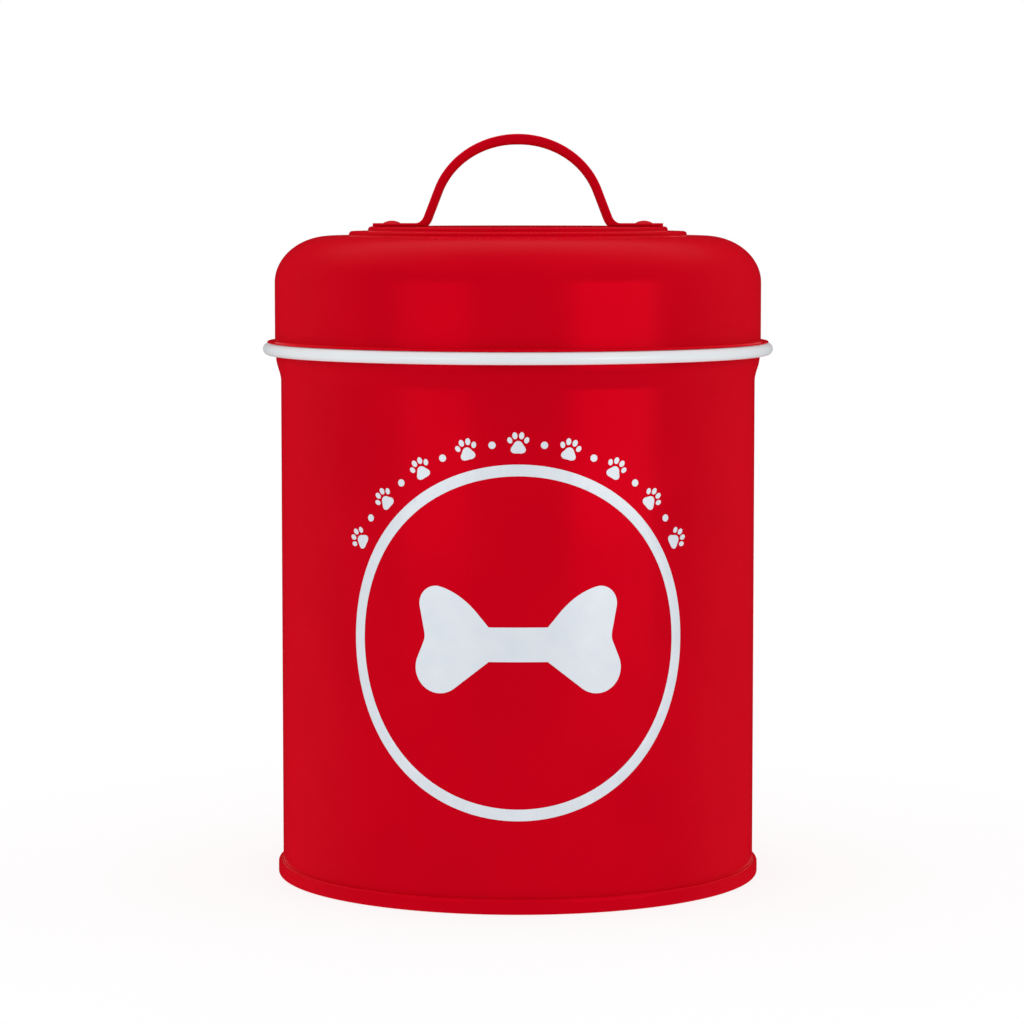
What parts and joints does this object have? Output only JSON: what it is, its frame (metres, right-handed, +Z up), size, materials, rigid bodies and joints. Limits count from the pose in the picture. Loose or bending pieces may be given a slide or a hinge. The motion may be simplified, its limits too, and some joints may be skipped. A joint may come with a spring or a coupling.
{
  "type": "pet food bin",
  "caption": "Round enamelled tin canister for dry pet food, with a slip-over domed lid, a riveted strap handle, a white rim bead and a printed bone.",
  "frame": {"origin": "centre of the foot, on the surface the bin stands on", "axes": "+Z up along the canister, -Y out of the printed front, +X to the right seen from the front, along the handle"},
  "size_m": [0.1474, 0.1474, 0.2144],
  "materials": {
    "red_enamel": "glossy stoved enamel on tinplate",
    "white_enamel": "glossy white enamel",
    "white_ink": "screen-printed enamel ink, glossy",
    "steel_wire": "drawn, bare",
    "silicone": "moulded, translucent white"
  },
  "bodies": {
    "bin": {"body_wall": "red_enamel", "base_pan": "red_enamel", "mouth_wire": "steel_wire", "ring_print": "white_ink", "bone_print": "white_ink", "paw_prints": "white_ink"},
    "seal": {"neck_seal": "silicone"},
    "lid": {"lid_shell": "red_enamel", "rim_bead": "white_enamel", "rim_wire": "steel_wire", "handle_strap": "red_enamel", "rivet_left": "red_enamel", "rivet_right": "red_enamel"}
  },
  "joints": [
    {"name": "lid_turn", "type": "hinge", "parent": "bin", "child": "seal", "pos_m": [0, 0, 0.161], "axis": [0, 0, 1], "continuous": true},
    {"name": "lid_lift", "type": "slide", "parent": "seal", "child": "lid", "axis": [0, 0, 1], "range_m": [0, 0.16]}
  ]
}
